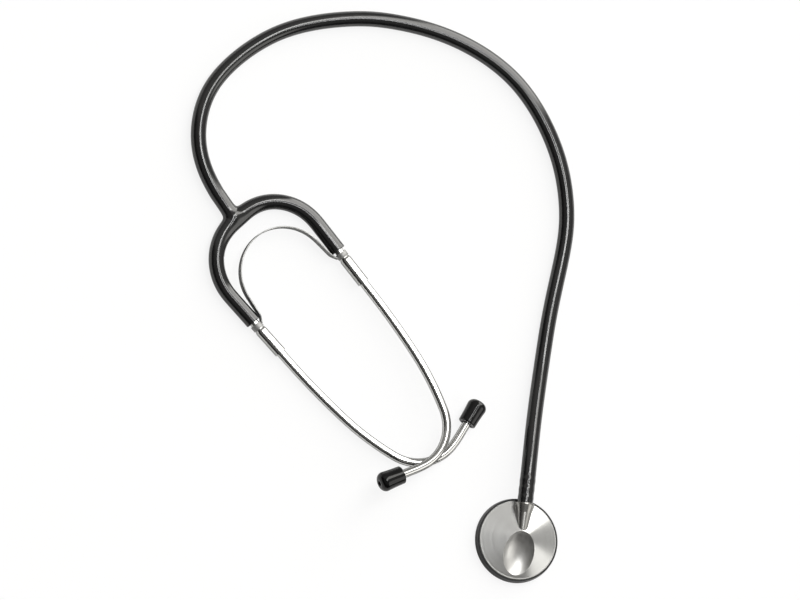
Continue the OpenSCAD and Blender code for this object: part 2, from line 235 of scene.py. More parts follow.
def relax(q, rounds):
    """Evens out the line's curvature, holding its first two and last two points."""
    q = q.copy()
    for _ in range(rounds):
        m = q.copy()
        m[1:-1] = 0.25 * q[:-2] + 0.5 * q[1:-1] + 0.25 * q[2:]
        m[:2], m[-2:] = q[:2], q[-2:]
        q = m
    return q


def sides_along(line, up):
    """Unit vectors to the side and to the top, square to the line, at each of its points."""
    way = np.gradient(line, axis=0)
    way /= np.linalg.norm(way, axis=1)[:, None]
    side = np.cross(way, np.asarray(up, float))
    side /= np.linalg.norm(side, axis=1)[:, None]
    return side, np.cross(side, way)


def moved(matrix, pts):
    return np.array([tuple(matrix @ Vector(p)) for p in pts])


def ear_frame(side):
    """Matrix from an ear tube's own frame to the part's."""
    pitch, roll = TILT[side]
    m = Matrix.Translation((HEADSET_X, 0, 0)) @ Matrix.Diagonal((side, 1, 1, 1))
    m = m @ Matrix.Translation((ARCH_HALF, ARM_Y, TUBE_Z))
    m = m @ Matrix.Rotation(math.radians(roll), 4, "Y")
    m = m @ Matrix.Rotation(math.radians(-pitch), 4, "X")
    return m @ Matrix.Rotation(math.radians(-ARM_LEAN), 4, "Z")


EAR_STEP = 0.8


def ear_line(side):
    """Centreline of an ear tube in its own frame, with its heading at the end."""
    x, y, a = 0.0, -PULL[side], 0.0
    pts = [(x, y, 0)]
    for r, v in EAR_PATH:
        if r == 0:
            n = max(2, round(v / EAR_STEP))
            for k in range(1, n + 1):
                pts.append((x - v * k / n * math.sin(a), y - v * k / n * math.cos(a), 0))
            x, y = pts[-1][0], pts[-1][1]
        else:
            b = a + math.radians(v)
            n = max(2, round(r * math.radians(v) / EAR_STEP))
            for k in range(1, n + 1):
                t = a + (b - a) * k / n
                pts.append((x + r * (math.cos(t) - math.cos(a)),
                            y + r * (math.sin(a) - math.sin(t)), 0))
            x, y, a = pts[-1][0], pts[-1][1], b
    return np.array(pts), a


# Meshes

def mesh_object(name, verts, faces):
    """Smooth object from points in millimetres."""
    data = bpy.data.meshes.new(name)
    data.from_pydata([tuple(v) for v in np.asarray(verts) * MM], [], faces)
    data.validate()
    bm = bmesh.new()
    bm.from_mesh(data)
    bmesh.ops.recalc_face_normals(bm, faces=bm.faces)
    bm.to_mesh(data)
    bm.free()
    data.polygons.foreach_set("use_smooth", [True] * len(data.polygons))
    obj = bpy.data.objects.new(name, data)
    bpy.context.scene.collection.objects.link(obj)
    return obj


def ring_at(centre, r, side, top, sides):
    """Points round a centre, on a circle that lies square to the line."""
    a = np.linspace(0, 2 * math.pi, sides, endpoint=False)[:, None]
    return centre + r * (np.cos(a) * side + np.sin(a) * top)


def ring_faces(n, sides, closed=False):
    """Faces between n rings of points; closed joins the last ring to the first."""
    faces = []
    for i in range(n if closed else n - 1):
        j = (i + 1) % n
        for k in range(sides):
            m = (k + 1) % sides
            faces.append((i * sides + k, i * sides + m, j * sides + m, j * sides + k))
    return faces


def walk_back(first, last, r):
    """Profile points of an inner wall, from one place on the line back to an earlier one."""
    return [(i, r) for i in np.arange(first, last, -2)] + [(last, r)]


def tube(name, line, profile, sides, up=UP, closed=True):
    """Tube along a line. profile: (index on the line, radius) pairs walked out and back, so
    that a wall with thickness comes from one list."""
    side, top = sides_along(line, up)
    rings = []
    for s, r in profile:
        i = min(int(s), len(line) - 1)
        j = min(i + 1, len(line) - 1)
        f = s - int(s)
        rings.append(ring_at(line[i] * (1 - f) + line[j] * f, r,
                             unit(side[i] * (1 - f) + side[j] * f),
                             unit(top[i] * (1 - f) + top[j] * f), sides))
    return mesh_object(name, np.concatenate(rings), ring_faces(len(profile), sides, closed))


def revolve(name, profile, place, sides):
    """Closed ring profile of (radius, height) turned round the place's Z axis."""
    turns = [2 * math.pi * k / sides for k in range(sides)]
    points = [(r * math.cos(t), r * math.sin(t), z) for r, z in profile for t in turns]
    return mesh_object(name, moved(place, points), ring_faces(len(profile), sides, True))


# Materials; their lengths are in metres

def new_material(name, metallic=0.0):
    mat = bpy.data.materials.new(name)
    mat.use_nodes = True
    nt = mat.node_tree
    bsdf = nt.nodes["Principled BSDF"]
    bsdf.inputs["Metallic"].default_value = metallic
    return mat, nt, bsdf


def add(nt, kind, **values):
    """New node; each value goes to the input of that name, or else to the node's setting."""
    node = nt.nodes.new(kind)
    for key, value in values.items():
        if key in node.inputs:
            node.inputs[key].default_value = value
        else:
            setattr(node, key, value)
    return node


def link(nt, a, out, b, into):
    nt.links.new(a.outputs[out], b.inputs[into])


def ramp(nt, source, out, reach, results):
    """Turns the source's values over reach, a pair, into the pair of results."""
    node = add(nt, "ShaderNodeMapRange")
    for key, value in zip(("From Min", "From Max", "To Min", "To Max"), (*reach, *results)):
        node.inputs[key].default_value = value
    link(nt, source, out, node, "Value")
    return node


def noise(nt, scale, detail, rough, vector=None):
    """Noise over the object's own place, or over the vector that another node gives."""
    node = add(nt, "ShaderNodeTexNoise", Scale=scale, Detail=detail, Roughness=rough)
    if vector is None:
        link(nt, add(nt, "ShaderNodeTexCoord"), "Object", node, "Vector")
    else:
        link(nt, vector, "Vector", node, "Vector")
    return node


def set_roughness(nt, bsdf, rough, source, reach, shares):
    """Roughness that wanders with the source, between two shares of the plain one."""
    level = ramp(nt, source, "Fac", reach, [rough * share for share in shares])
    link(nt, level, "Result", bsdf, "Roughness")


def set_colour(nt, bsdf, first, second, source):
    """Base colour that wanders with the source, between two colours."""
    shade = add(nt, "ShaderNodeMix", data_type="RGBA")
    shade.inputs["A"].default_value = (*first, 1)
    shade.inputs["B"].default_value = (*second, 1)
    link(nt, source, "Fac", shade, "Factor")
    link(nt, shade, "Result", bsdf, "Base Color")


def set_relief(nt, bsdf, source, depth, strength, out="Fac", soft_edge=None):
    """Bump from the source; soft_edge also rounds what shows of the mesh's sharp edges."""
    bump = add(nt, "ShaderNodeBump", Distance=depth, Strength=strength)
    link(nt, source, out, bump, "Height")
    if soft_edge:
        bevel = add(nt, "ShaderNodeBevel", samples=4, Radius=soft_edge)
        link(nt, bevel, "Normal", bump, "Normal")
    link(nt, bump, "Normal", bsdf, "Normal")


def black_rubber(name, colour, rough, peel=0.00002, specular=0.5):
    """Black moulding: faint orange peel, and smears that dull it."""
    mat, nt, bsdf = new_material(name)
    bsdf.inputs["Specular IOR Level"].default_value = specular
    smears = noise(nt, 55, 4, 0.6)
    set_roughness(nt, bsdf, rough, smears, (0.3, 0.72), (0.75, 1.35))
    set_colour(nt, bsdf, colour, [c * 1.5 + 0.004 for c in colour], smears)
    waves = add(nt, "ShaderNodeMath", operation="MULTIPLY_ADD")
    waves.inputs[1].default_value = 0.35
    link(nt, noise(nt, 900, 2, 0.5), "Fac", waves, 0)
    link(nt, noise(nt, 160, 2, 0.4), "Fac", waves, 2)
    set_relief(nt, bsdf, waves, peel, strength=0.8, out="Value")
    return mat


def polished_metal(name, colour, rough):
    """Bright drawn metal: faint lengthwise drawing marks and hazy handling smears."""
    mat, nt, bsdf = new_material(name, metallic=1.0)
    bsdf.inputs["Base Color"].default_value = (*colour, 1)
    # it mirrors less at its edges, as the photograph's tubes do
    # painted shade: the near-black edge tint dims what the metal mirrors at its edges, standing
    # in for a shadowed table seen there
    bsdf.inputs["Specular Tint"].default_value = (0.05, 0.05, 0.05, 1)
    set_roughness(nt, bsdf, rough, noise(nt, 70, 4, 0.6), (0.3, 0.75), (0.6, 1.6))
    squeeze = add(nt, "ShaderNodeMapping", Scale=(1, 0.05, 1))
    link(nt, add(nt, "ShaderNodeTexCoord"), "Object", squeeze, "Vector")
    set_relief(nt, bsdf, noise(nt, 2600, 2, 0.5, squeeze), depth=0.000004, strength=0.6)
    return mat


def turned_steel(name, colour, rough, anisotropy):
    """Steel with the lathe's circles round Z: they bend the light into fans."""
    mat, nt, bsdf = new_material(name, metallic=1.0)
    bsdf.inputs["Anisotropic"].default_value = anisotropy
    # a quarter turn: Cycles draws highlights out along the tangent, and a lathe's go across
    bsdf.inputs["Anisotropic Rotation"].default_value = 0.25
    split = add(nt, "ShaderNodeSeparateXYZ")
    link(nt, add(nt, "ShaderNodeTexCoord"), "Object", split, "Vector")
    flat = add(nt, "ShaderNodeCombineXYZ")
    link(nt, split, "X", flat, "X")
    link(nt, split, "Y", flat, "Y")
    length = add(nt, "ShaderNodeVectorMath", operation="LENGTH")
    link(nt, flat, "Vector", length, 0)
    radius = add(nt, "ShaderNodeCombineXYZ")
    link(nt, length, "Value", radius, "X")
    bands = noise(nt, 700, 3, 0.6, radius)
    set_roughness(nt, bsdf, rough, bands, (0.25, 0.75), (0.85, 1.2))
    set_colour(nt, bsdf, [c * 0.9 for c in colour], colour, noise(nt, 90, 4, 0.6))
    grooves = noise(nt, 5200, 3, 0.6, radius)
    set_relief(nt, bsdf, grooves, depth=0.000004, strength=0.5, soft_edge=0.00012)
    tangent = add(nt, "ShaderNodeTangent", direction_type="RADIAL", axis="Z")
    link(nt, tangent, "Tangent", bsdf, "Tangent")
    return mat


def ground_steel(name, colour, rough, depth):
    """Steel ground along the stem's direction: fine scratches and streaks that way."""
    mat, nt, bsdf = new_material(name, metallic=1.0)
    turn = add(nt, "ShaderNodeMapping", vector_type="TEXTURE", Rotation=(0, 0, STEM_ANGLE),
               Scale=(14, 1, 1))
    link(nt, add(nt, "ShaderNodeTexCoord"), "Object", turn, "Vector")
    streaks = noise(nt, 420, 3, 0.6, turn)
    set_roughness(nt, bsdf, rough, streaks, (0.3, 0.7), (0.85, 1.15))
    set_colour(nt, bsdf, [c * 0.86 for c in colour], colour, streaks)
    scratches = noise(nt, 2400, 3, 0.6, turn)
    set_relief(nt, bsdf, scratches, depth, strength=0.5, soft_edge=0.0002)
    return mat


HOSE = black_rubber("hose", (0.006, 0.006, 0.0062), 0.12, peel=0.000008, specular=0.625)
TIP = black_rubber("ear_tip", (0.002, 0.002, 0.0021), 0.09, peel=0.00003, specular=0.3)
RIM = black_rubber("rim", (0.004, 0.004, 0.0042), 0.35, specular=0.25)
DISC = black_rubber("diaphragm", (0.02, 0.02, 0.021), 0.42)
EAR = polished_metal("ear_tube", (0.52, 0.52, 0.51), 0.14)
CLIP = polished_metal("spring_clip", (0.45, 0.45, 0.44), 0.16)
LEAF = polished_metal("leaf_spring", (0.36, 0.36, 0.355), 0.55)
STEEL = turned_steel("turned_steel", (0.56, 0.56, 0.55), 0.32, anisotropy=0.83)
SCOOP = ground_steel("ground_scoop", (0.62, 0.615, 0.6), 0.42, depth=0.0000015)
COLLAR = ground_steel("turned_boss", (0.34, 0.335, 0.32), 0.3, depth=0.0000003)
MARGIN = turned_steel("turned_margin", (0.42, 0.42, 0.41), 0.5, anisotropy=0.8)


def dress(obj, mat):
    obj.data.materials.clear()
    obj.data.materials.append(mat)
    return obj


# Hose

ROUTE_STEP = 2.0
HOSE_STEP = 1.6
HOSE_RELAX = 24
HOSE_SIDES = 56
# the hose runs straight at first and at last
HOSE_LEAD = 10
HOSE_TAIL = 6
# the stem's barbs swell the hose over them: from this place on its line to that one, in steps
BARBS_FROM = 0.3
BARBS_TO = 10.2
BARB_STEP = 0.25
BARB_PITCH = 4.95
BARB_SWELL = 0.13
# each end's face, hidden in its neighbour, keeps a pinhole of this radius
PINHOLE_R = 0.02


def barb_swell(place):
    turn = 2 * math.pi * (place - BARBS_FROM) * HOSE_STEP / BARB_PITCH
    return BARB_SWELL * (0.5 - 0.5 * math.cos(turn))


def build_hose():
    line = smooth_line([HOSE_START, HOSE_START + HOSE_LEAD * STEM_DIR, *ROUTE,
                        HOSE_END + HOSE_TAIL * INLET_DIR, HOSE_END], ROUTE_STEP)
    line = resample(relax(line, HOSE_RELAX), HOSE_STEP)
    n = len(line)
    r = HOSE_R
    # a cut end with a soft edge at the boss, and a sharp one inside the yoke's inlet
    profile = [(0, PINHOLE_R), (0, r - 0.26), (0, r - 0.25), (0.03, r - 0.07), (0.1, r),
               (0.12, r)]
    profile += [(i, r + barb_swell(i)) for i in np.arange(BARBS_FROM, BARBS_TO, BARB_STEP)]
    profile += [(i, r) for i in range(math.ceil(BARBS_TO), n - 1)]
    profile += [(n - 1.02, r), (n - 1, r), (n - 1, r - 0.02), (n - 1, PINHOLE_R)]
    hose = tube("hose", line, profile, HOSE_SIDES, closed=False)
    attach(hose, "base")
    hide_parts("main_tube")
    return dress(hose, HOSE)


build_hose()


# Yoke: one smooth skin round the arch and the inlet, and two arms on from it

YOKE_STEP = 0.4
YOKE_RELAX = 60
ARCH_STEP = 0.3
ARCH_PARTS = 120
INLET_STEP = 0.5
# width over which the tubes melt together
YOKE_BLEND = 1.1
# how much the arch thickens inwards under the inlet, and how far to each side
SWELL = 1.35
SWELL_HALF = 23
# the inlet's line starts this far up, so that the skin stays smooth inside the arch, and runs
# on past its end, so that the skin keeps its radius there
INLET_FROM = 3
INLET_ON = 6
# where the middle ends and the arms start, in steps along each arm
ARM_FROM = 66
ARM_BORE = 1.8
# an arm starts inside the middle, thinner by this much, and has its full width some steps on
SEAM_THIN = 0.015
SEAM_STEPS = 20
# the arm's mouth and the socket behind it, whose depth is in steps too
MOUTH_ROUND = 0.4
MOUTH_GAP = 0.02
SOCKET_STEPS = 44
# the rough solid from which the skin is made: how much thicker it is, how many steps it runs
# on into each arm and how far past the inlet; its voxels are in metres
ROUGH_SIDES = 40
ROUGH_EXTRA = 0.3
ROUGH_STEPS_ON = 14
ROUGH_ON = 3
VOXEL = 0.00042
PULL_ROUNDS = 4
SPREAD_ROUNDS = 6
FLOOR_GAP = 0.05
# points measured at a time, to spare memory
BATCH = 4000
# how far apart the skin is measured to find its slopes
NUDGE = 0.02


def arm_line(side):
    """Centreline from the arch's top to the arm's end."""
    pts = [(HEADSET_X + side * x, ARCH_TOP, TUBE_Z) for x in np.arange(0, ARCH_X, ARCH_STEP)]
    for t in np.radians(np.linspace(90, 0, ARCH_PARTS)):
        pts.append((HEADSET_X + side * (ARCH_X + ARCH_R * math.cos(t)),
                    ARM_Y + ARCH_R * math.sin(t), TUBE_Z))
    place = ear_frame(side)
    pts += [tuple(place @ Vector((0, -d, 0)))
            for d in np.arange(YOKE_STEP, ARM_L + 0.01, YOKE_STEP)]
    return relax(resample(np.array(pts), YOKE_STEP), YOKE_RELAX)


def distance_to(points, line):
    """Distance of each point to a polyline, and the nearest point on it."""
    a, b = line[:-1], line[1:]
    d = b - a
    dd = (d * d).sum(1)
    best = np.full(len(points), 1e9)
    near = np.zeros((len(points), 3))
    for start in range(0, len(points), BATCH):
        p = points[start:start + BATCH]
        t = np.clip(((p[:, None] - a[None]) * d[None]).sum(2) / dd, 0, 1)
        q = a[None] + t[..., None] * d[None]
        e = np.linalg.norm(p[:, None] - q, axis=2)
        k = e.argmin(1)
        rows = np.arange(len(p))
        best[start:start + BATCH] = e[rows, k]
        near[start:start + BATCH] = q[rows, k]
    return best, near


def swell(points):
    """Moves points under the inlet outwards, so that the arch they are measured against
    grows thicker inwards there."""
    x = points[:, 0] - INLET_FOOT[0]
    bump = np.where(abs(x) < SWELL_HALF, np.cos(np.pi * x / (2 * SWELL_HALF)) ** 2, 0)
    across = np.maximum(abs(points[:, 0] - HEADSET_X) - ARCH_X, 0)
    arch_y = ARCH_TOP - across ** 2 / (2 * ARCH_R)
    t = np.clip((arch_y - points[:, 1]) / (HOSE_R + SWELL), 0, 1)
    return points + np.stack([0 * x, SWELL * bump * t * t * (3 - 2 * t), 0 * x], axis=1)


def skin(points, lines):
    """Signed distance and outward direction of a tube round each line, melted together. The
    first line is the arch's, the second the inlet's."""
    places = [swell(points), points]
    found = [distance_to(place, line) for place, line in zip(places, lines)]
    dist = np.array([f[0] - HOSE_R for f in found])
    grad = np.array([(place - f[1]) / np.maximum(f[0], 1e-6)[:, None]
                     for place, f in zip(places, found)])
    low = dist.min(0)
    weight = np.exp(-(dist - low) / YOKE_BLEND)
    total = low - YOKE_BLEND * np.log(weight.sum(0))
    direction = (grad * weight[..., None]).sum(0) / weight.sum(0)[:, None]
    return total, direction / np.linalg.norm(direction, axis=1)[:, None]


def onto_skin(points, lines):
    dist, out = skin(points, lines)
    return points - np.clip(dist, -1, 1)[:, None] * out


def rough_middle(arms, inlet):
    """Mesh of even voxels round plain tubes along the arch's middle and the inlet."""
    near = {side: arms[side][:ARM_FROM + ROUGH_STEPS_ON] for side in arms}
    rough = mesh_object("yoke_rough", np.zeros((0, 3)), [])
    bm = bmesh.new()
    for line in (np.concatenate([near[-1][::-1], near[1][1:]]),
                 np.array([inlet[0], inlet[-1] + ROUGH_ON * INLET_DIR])):
        side, top = sides_along(line, UP)
        verts = [bm.verts.new(v * MM) for i in range(len(line))
                 for v in ring_at(line[i], HOSE_R + ROUGH_EXTRA, side[i], top[i], ROUGH_SIDES)]
        for f in ring_faces(len(line), ROUGH_SIDES):
            bm.faces.new([verts[i] for i in f])
        bm.faces.new(verts[:ROUGH_SIDES][::-1])
        bm.faces.new(verts[-ROUGH_SIDES:])
    bmesh.ops.recalc_face_normals(bm, faces=bm.faces)
    bm.to_mesh(rough.data)
    bm.free()
    remesh = rough.modifiers.new("remesh", "REMESH")
    remesh.mode = "VOXEL"
    remesh.voxel_size = VOXEL
    dg = bpy.context.evaluated_depsgraph_get()
    data = bpy.data.meshes.new_from_object(rough.evaluated_get(dg))
    bpy.data.objects.remove(rough)
    return data


def settle(data, lines):
    """Pulls a mesh onto the skin, and evens out the spacing of its points there."""
    co = np.array([v.co for v in data.vertices]) / MM
    for _ in range(PULL_ROUNDS):
        co = onto_skin(co, lines)
    edges = np.array([e.vertices[:] for e in data.edges])
    for _ in range(SPREAD_ROUNDS):
        total = np.zeros_like(co)
        count = np.zeros(len(co))
        for a, b in ((0, 1), (1, 0)):
            np.add.at(total, edges[:, a], co[edges[:, b]])
            np.add.at(count, edges[:, a], 1)
        co = onto_skin(0.5 * co + 0.5 * total / count[:, None], lines)
    co[:, 2] = np.maximum(co[:, 2], FLOOR_GAP)
    data.vertices.foreach_set("co", (co * MM).astype(np.float32).ravel())


def cut(bm, point, normal, **clear):
    bmesh.ops.bisect_plane(bm, geom=bm.verts[:] + bm.edges[:] + bm.faces[:], dist=1e-7,
                           plane_co=tuple(point * MM), plane_no=tuple(normal), **clear)


def set_normals(obj, lines):
    """Shades the object by the skin's own slopes instead of the mesh's."""
    data = obj.data
    data.polygons.foreach_set("use_smooth", [True] * len(data.polygons))
    co = np.array([v.co for v in data.vertices]) / MM
    here = skin(co, lines)[0]
    normals = np.stack([skin(co + NUDGE * axis, lines)[0] - here for axis in np.eye(3)], axis=1)
    normals /= np.linalg.norm(normals, axis=1)[:, None]
    data.normals_split_custom_set_from_vertices([tuple(n) for n in normals])


def bend_arm(obj):
    """Bakes a piece of the yoke into the part's frame, hides the CAD's yoke and gives the piece
    the hose's rubber.
    """
    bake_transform(obj)
    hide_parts("yoke")
    dress(obj, HOSE)


def build_middle(arms):
    """The arch and the inlet, split along the inlet into one half for each arm."""
    inlet = np.array([INLET_FOOT + d * INLET_DIR
                      for d in np.arange(INLET_FROM, INLET_L + 0.01, INLET_STEP)])
    lines = [np.concatenate([arms[-1][::-1], arms[1][1:]]),
             np.concatenate([inlet, [inlet[-1] + INLET_ON * INLET_DIR]])]
    data = rough_middle(arms, inlet)
    settle(data, lines)
    bm = bmesh.new()
    bm.from_mesh(data)
    for line in arms.values():
        cut(bm, line[ARM_FROM], unit(line[ARM_FROM + 1] - line[ARM_FROM - 1]), clear_outer=True)
    cut(bm, HOSE_END, INLET_DIR, clear_outer=True)
    bmesh.ops.recalc_face_normals(bm, faces=bm.faces)
    for side, word in SIDES:
        part = bm.copy()
        out = (side * math.cos(INLET_LEAN), -side * math.sin(INLET_LEAN), 0)
        cut(part, INLET_FOOT, out, clear_inner=True)
        half = mesh_object("yoke_" + word, np.zeros((0, 3)), [])
        part.to_mesh(half.data)
        part.free()
        set_normals(half, lines)
        bend_arm(half)
    bm.free()


def build_arm(line, word):
    """An arm's end, a socket with a rounded mouth for its ear tube."""
    n = len(line)
    r = HOSE_R
    profile = [(i, r - SEAM_THIN * max(0, 1 - i / SEAM_STEPS)) for i in range(n - 1)]
    profile += [(n - 1 - (1 - math.sin(t)), r - MOUTH_ROUND * (1 - math.cos(t)))
                for t in np.linspace(0, math.pi / 2, 5)]
    mouth = SOCKET_R + MOUTH_GAP
    profile += [(n - 1, r - 0.7), (n - 1, mouth + 0.35), (n - 1.25, mouth + 0.08),
                (n - 1.8, mouth)]
    profile += walk_back(n - 4, n - SOCKET_STEPS, mouth)
    profile += walk_back(n - SOCKET_STEPS - 1, 0, ARM_BORE)
    bend_arm(tube("yoke_arm_" + word, line, profile, HOSE_SIDES))


def build_yoke():
    arms = {side: arm_line(side) for side, _ in SIDES}
    build_middle(arms)
    for side, word in SIDES:
        build_arm(arms[side][ARM_FROM - 3:], word)


build_yoke()


# Ear tubes and ear tips

TUBE_SIDES = 48
TIP_SIDES = 72


def tip_profile():
    """An ear tip as (radius, height), from its socket's edge over the outside and back through
    the sound hole."""
    side_l, flat_r = TIP_L - TIP_ROUND, TIP_R - TIP_ROUND
    points = [(SOCKET_R, 0), (TIP_BASE_R - TIP_LIP, 0), (TIP_BASE_R - 0.25, 0.08),
              (TIP_BASE_R - 0.03, 0.3), (TIP_BASE_R, TIP_LIP)]
    for t in np.linspace(0, 1, 9)[1:]:
        hollow = TIP_WAIST * math.sin(math.pi * t)
        points.append((TIP_BASE_R + (TIP_R - TIP_BASE_R) * t - hollow,
                       TIP_LIP + (side_l - TIP_LIP) * t))
    for t in np.radians(np.linspace(6, 84, 14)):
        points.append((flat_r + TIP_ROUND * math.cos(t), side_l + TIP_ROUND * math.sin(t)))
    points += [(TIP_HOLE_R + 0.6, TIP_L - 0.02), (TIP_HOLE_R + 0.3, TIP_L - 0.05),
               (TIP_HOLE_R + 0.1, TIP_L - 0.18), (TIP_HOLE_R, TIP_L - 0.5),
               (TIP_HOLE_R, TIP_GRIP + 0.4), (SOCKET_R, TIP_GRIP + 0.3)]
    return points


def build_ear(side, word):
    place = ear_frame(side)
    local, heading = ear_line(side)
    line = moved(place, local)
    n = len(line)
    profile = [(0, TUBE_BORE), (0, TUBE_R)] + [(i, TUBE_R) for i in range(1, n)]
    profile += walk_back(n - 1, 0, TUBE_BORE)[:-1]
    ear = tube("ear_tube_skin_" + word, line, profile, TUBE_SIDES,
               up=place.to_3x3() @ Vector(UP))
    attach(ear, "ear_" + word)
    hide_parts("ear_tube_" + word)
    dress(ear, EAR)
    # the tip turns round the tube's end, away from it
    out = Vector((-math.sin(heading), -math.cos(heading), 0))
    top = Vector(UP)
    axes = Matrix((top, out.cross(top), out)).transposed().to_4x4()
    tip_place = place @ Matrix.Translation(Vector(local[-1]) - TIP_GRIP * out) @ axes
    tip = revolve("ear_tip_skin_" + word, tip_profile(), tip_place, TIP_SIDES)
    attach(tip, "tip_" + word)
    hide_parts("ear_tip_" + word)
    dress(tip, TIP)


for _side, _word in SIDES:
    build_ear(_side, _word)


# Leaf spring: two halves, and a hook round each ear tube

LEAF_PARTS = 60
LEAF_STEP = 0.5
LEAF_RELAX = 16
# from the arm's inner side to the middle of the leaf, beside the arm's end
KNEE_GAP = 0.65
# the leaf narrows to the hook's width between these distances from its foot
NARROW = 1.8
BROAD = 4.5


def ribbon(name, line, width, up):
    """Strip with softened edges along a line; its width lies along up."""
    up = unit(up)
    side = sides_along(line, up)[0]
    ring = []
    for corner, (cx, cy) in enumerate(((1, 1), (-1, 1), (-1, -1), (1, -1))):
        for t in np.radians(np.linspace(0, 90, 4) + 90 * corner):
            ring.append((cx, math.cos(t), cy, math.sin(t)))
    verts = []
    for i in range(len(line)):
        w = width[i] / 2 - LEAF_SOFT
        for cx, ct, cy, st in ring:
            verts.append(line[i] + (cx * (LEAF_T / 2 - LEAF_SOFT) + LEAF_SOFT * ct) * side[i]
                         + (cy * w + LEAF_SOFT * st) * up)
    sides = len(ring)
    last = (len(line) - 1) * sides
    ends = [tuple(range(sides)), tuple(range(last, last + sides))]
    obj = mesh_object(name, verts, ring_faces(len(line), sides) + ends)
    for f in obj.data.polygons[-2:]:
        f.use_smooth = False
    return obj


def build_leaf(side, word):
    # from the arch's top to the knee at the arm's end, and on to the foot beside the hook
    centre_y = ARCH_TOP - LEAF_DROP - LEAF_R
    sweep = np.radians(np.linspace(0, LEAF_SWEEP, LEAF_PARTS))
    arch = np.stack([HEADSET_X + side * LEAF_R * np.sin(sweep),
                     centre_y + LEAF_R * np.cos(sweep), np.full(LEAF_PARTS, LEAF_Z)], axis=1)
    lean = math.radians(ARM_LEAN)
    inner = ARCH_HALF - ARM_L * math.tan(lean) - HOSE_R
    knee = np.array([HEADSET_X + side * (inner - KNEE_GAP), ARM_Y - ARM_L, LEAF_Z])
    tube_x = ARCH_HALF - (HOOK_AT + HOOK_W / 2) * math.sin(lean)
    foot = np.array([HEADSET_X + side * (tube_x - SOCKET_R - LEAF_T / 2 - HOOK_GAP),
                     ARM_Y - HOOK_AT - HOOK_W / 2, LEAF_Z])
    line = relax(resample(np.array([*arch, knee, foot]), LEAF_STEP), LEAF_RELAX)
    to_go = np.linalg.norm(line - foot, axis=1)
    width = np.interp(to_go, [0, NARROW, BROAD], [HOOK_W, HOOK_W, LEAF_H])
    half = ribbon("leaf_half_" + word, line, width, UP)
    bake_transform(half)
    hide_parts("leaf_spring")
    dress(half, LEAF)
    # the hook, in the ear tube's own frame
    place = ear_frame(side)
    r = SOCKET_R + HOOK_GAP + LEAF_T / 2
    middle = -HOOK_AT - HOOK_W / 2
    around = np.radians(np.linspace(HOOK_FROM, HOOK_TO, LEAF_PARTS))
    ring = moved(place, [(r * math.cos(t), middle, r * math.sin(t)) for t in around])
    axis = np.array(place.to_3x3() @ Vector((0, 1, 0)))
    hook = ribbon("leaf_hook_" + word, ring, np.full(LEAF_PARTS, HOOK_W), axis)
    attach(hook, "ear_" + word)
    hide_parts("leaf_spring")
    dress(hook, LEAF)


for _side, _word in SIDES:
    build_leaf(_side, _word)


# The CAD's own solids that stay

HEAD_MATERIALS = (STEEL, SCOOP, COLLAR, MARGIN)
# how near a face's middle has to be to a form, for the face to be part of it
NEAR_SCOOP = 0.12
NEAR_BOSS = 0.06
NEAR_MARGIN = 0.05
# how far below the cone's edge the scoop and the margin may reach
SCOOP_BELOW = 0.4
MARGIN_BELOW = 0.6


def scoop_wheel():
    """The wheel that ground the scoop: its radius, and its hub as (towards the stem, height)."""
    p = np.array([SCOOP_TOP, top_z(SCOOP_TOP)])
    q = np.array([-SCOOP_END, top_z(SCOOP_END)])
    chord = np.linalg.norm(p - q)
    radius = chord * chord / (8 * SCOOP_DEPTH) + SCOOP_DEPTH / 2
    up = np.array([q[1] - p[1], p[0] - q[0]]) / chord
    return radius, (p + q) / 2 + (radius - SCOOP_DEPTH) * up


def head_material(c, wheel, hub):
    """Which of the head's materials a point of its surface has."""
    u = c.x * STEM_DIR[0] + c.y * STEM_DIR[1]
    v = -c.x * STEM_DIR[1] + c.y * STEM_DIR[0]
    out = math.hypot(math.hypot(u - hub[0], c.z - hub[1]) - (wheel - SCOOP_CROSS_R), v)
    boss_r = np.interp(u, [b[0] for b in BOSS], [b[1] for b in BOSS])
    if abs(out - SCOOP_CROSS_R) < NEAR_SCOOP and c.z > EDGE_Z - SCOOP_BELOW:
        return SCOOP
    on_boss = math.hypot(v, c.z - STEM_Z) < boss_r + NEAR_BOSS
    if u > BOSS[0][0] and on_boss and c.z > EDGE_Z:
        return COLLAR
    if math.hypot(c.x, c.y) > CONE_R - NEAR_MARGIN and c.z > EDGE_Z - MARGIN_BELOW:
        return MARGIN
    return STEEL


def dress_head():
    body = nodes["chest_body"]
    body.data.materials.clear()
    for mat in HEAD_MATERIALS:
        body.data.materials.append(mat)
    wheel, hub = scoop_wheel()
    for poly in body.data.polygons:
        mat = head_material(poly.center / MM, wheel, hub)
        poly.material_index = HEAD_MATERIALS.index(mat)


dress_head()
for _name, _mat in (("stem", CLIP), ("rim", RIM), ("diaphragm", DISC),
                    ("spring_clip_left", CLIP), ("spring_clip_right", CLIP)):
    dress(nodes[_name], _mat)


# Floor, room and lamps; places and lengths are in metres, and a strength of 1 shows as white

TABLE_CENTRE = Vector((0.07, 0.15, 0))
TABLE_SIZE = 6
TABLE_COLOUR = (0.93, 0.93, 0.93, 1)
TABLE_ROUGH = 0.9
# the share of plain white in the table, seen straight on and mirrored
FLOOR_GLOW = 0.85
MIRRORED_GLOW = 0.25

# each step is a pair of cosines, or of sines where that is said, at which it starts and ends
CEILING = 0.2
CEILING_LOW = 0.02
CEILING_STEP = (0.45, 0.7)
ROOM = 0.3
ROOM_AZ = 65
ROOM_STEP = (0.0, 0.12)
WINDOW = 5.2
WINDOW_AZ = 47
WINDOW_STEP = (0.951, 0.974)
# the window's top edge, in sines of the angle from the vertical
WINDOW_TOP = (0.19, 0.25)
SECOND = 1.9
SECOND_AZ = -28
SECOND_UP = 31
SECOND_STEP = (0.92, 0.97)
COOL = (0.985, 0.99, 1, 1)
WARM = (1, 0.985, 0.95, 1)

